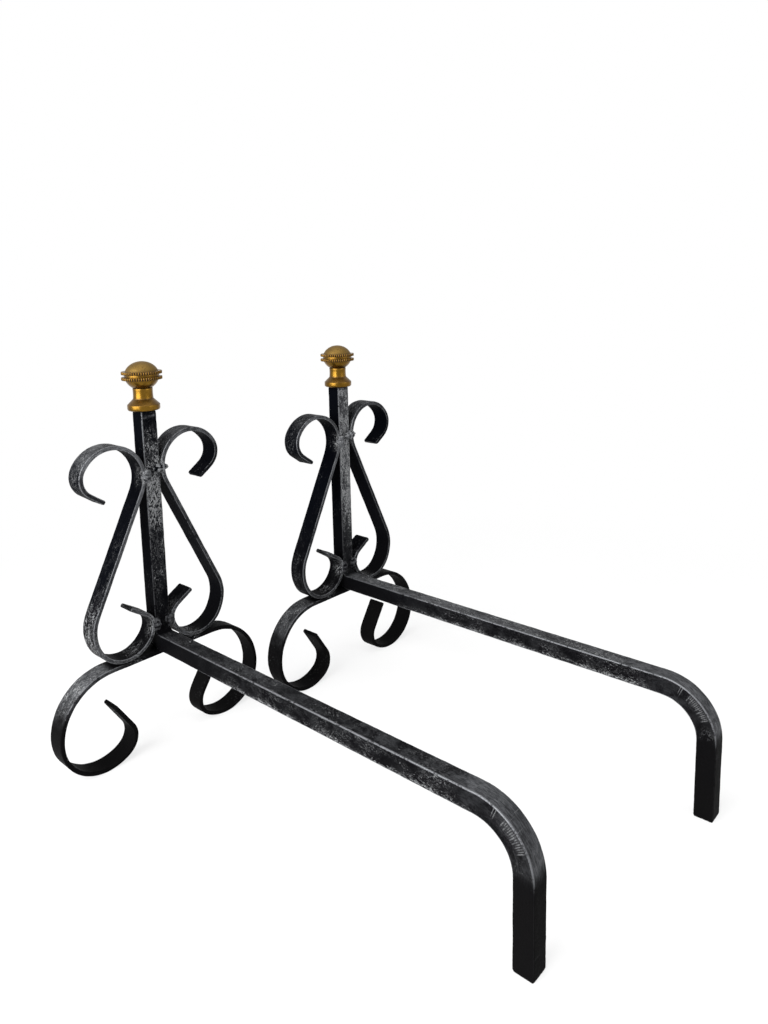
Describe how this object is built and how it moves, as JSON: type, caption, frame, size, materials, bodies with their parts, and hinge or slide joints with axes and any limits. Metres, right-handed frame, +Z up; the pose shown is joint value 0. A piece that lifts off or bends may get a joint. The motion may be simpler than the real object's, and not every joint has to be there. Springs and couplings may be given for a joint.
{
  "type": "andiron",
  "caption": "Wrought-iron andirons with scrolled fronts, curled feet, square log rails and turned brass finials, for holding logs off a hearth.",
  "frame": {"origin": "on the hearth, in the middle of the overall width and depth of the pair", "axes": "+Z up, -Y the scrolled front that faces the room, +Y back along the log rails, +X to the right as seen from the room"},
  "size_m": [0.448, 0.4766, 0.3777],
  "materials": {
    "black_iron": "satin black over forged bar, rubbed to pewter grey on the edges and upper faces",
    "weld_iron": "satin black over lumpy weld metal, rubbed grey on the crests",
    "stud_steel": "plain steel thread",
    "brass": "aged satin brass with brown patina in the grooves"
  },
  "bodies": {
    "right_andiron": {"right_main_bar": "black_iron", "right_foot_scroll": "black_iron", "right_outer_scroll": "black_iron", "right_inner_scroll": "black_iron", "right_finial_stud": "stud_steel", "right_corner_weld": "weld_iron", "right_outer_top_weld": "weld_iron", "right_outer_tail_weld": "weld_iron", "right_outer_loop_weld": "weld_iron", "right_inner_top_weld": "weld_iron", "right_inner_tail_weld": "weld_iron", "right_inner_loop_weld": "weld_iron"},
    "right_collar": {"right_finial_collar": "brass"},
    "right_knob": {"right_finial_knob": "brass"},
    "left_andiron": {"left_main_bar": "black_iron", "left_foot_scroll": "black_iron", "left_outer_scroll": "black_iron", "left_inner_scroll": "black_iron", "left_finial_stud": "stud_steel", "left_corner_weld": "weld_iron", "left_outer_top_weld": "weld_iron", "left_outer_tail_weld": "weld_iron", "left_outer_loop_weld": "weld_iron", "left_inner_top_weld": "weld_iron", "left_inner_tail_weld": "weld_iron", "left_inner_loop_weld": "weld_iron"},
    "left_collar": {"left_finial_collar": "brass"},
    "left_knob": {"left_finial_knob": "brass"}
  },
  "joints": [
    {"name": "right_finial_rise", "type": "slide", "parent": "right_andiron", "child": "right_collar", "axis": [0, 0, 1], "range_m": [0, 0.0057]},
    {"name": "right_knob_turn", "type": "hinge", "parent": "right_collar", "child": "right_knob", "pos_m": [0.113, -0.2197, 0.355], "axis": [0, 0, 1], "range_deg": [0, 1620]},
    {"name": "left_finial_rise", "type": "slide", "parent": "left_andiron", "child": "left_collar", "axis": [0, 0, 1], "range_m": [0, 0.0057]},
    {"name": "left_knob_turn", "type": "hinge", "parent": "left_collar", "child": "left_knob", "pos_m": [-0.113, -0.1867, 0.355], "axis": [0, 0, 1], "range_deg": [0, 1620]},
    {"name": "left_andiron_spread", "type": "slide", "parent": "right_andiron", "child": "left_andiron", "axis": [-1, 0, 0], "range_m": [0, 0.3]}
  ],
  "couplings": [
    {"joint": "right_finial_rise", "follows": "right_knob_turn", "m_per_rad": 0.00019894},
    {"joint": "left_finial_rise", "follows": "left_knob_turn", "m_per_rad": 0.00019894}
  ]
}
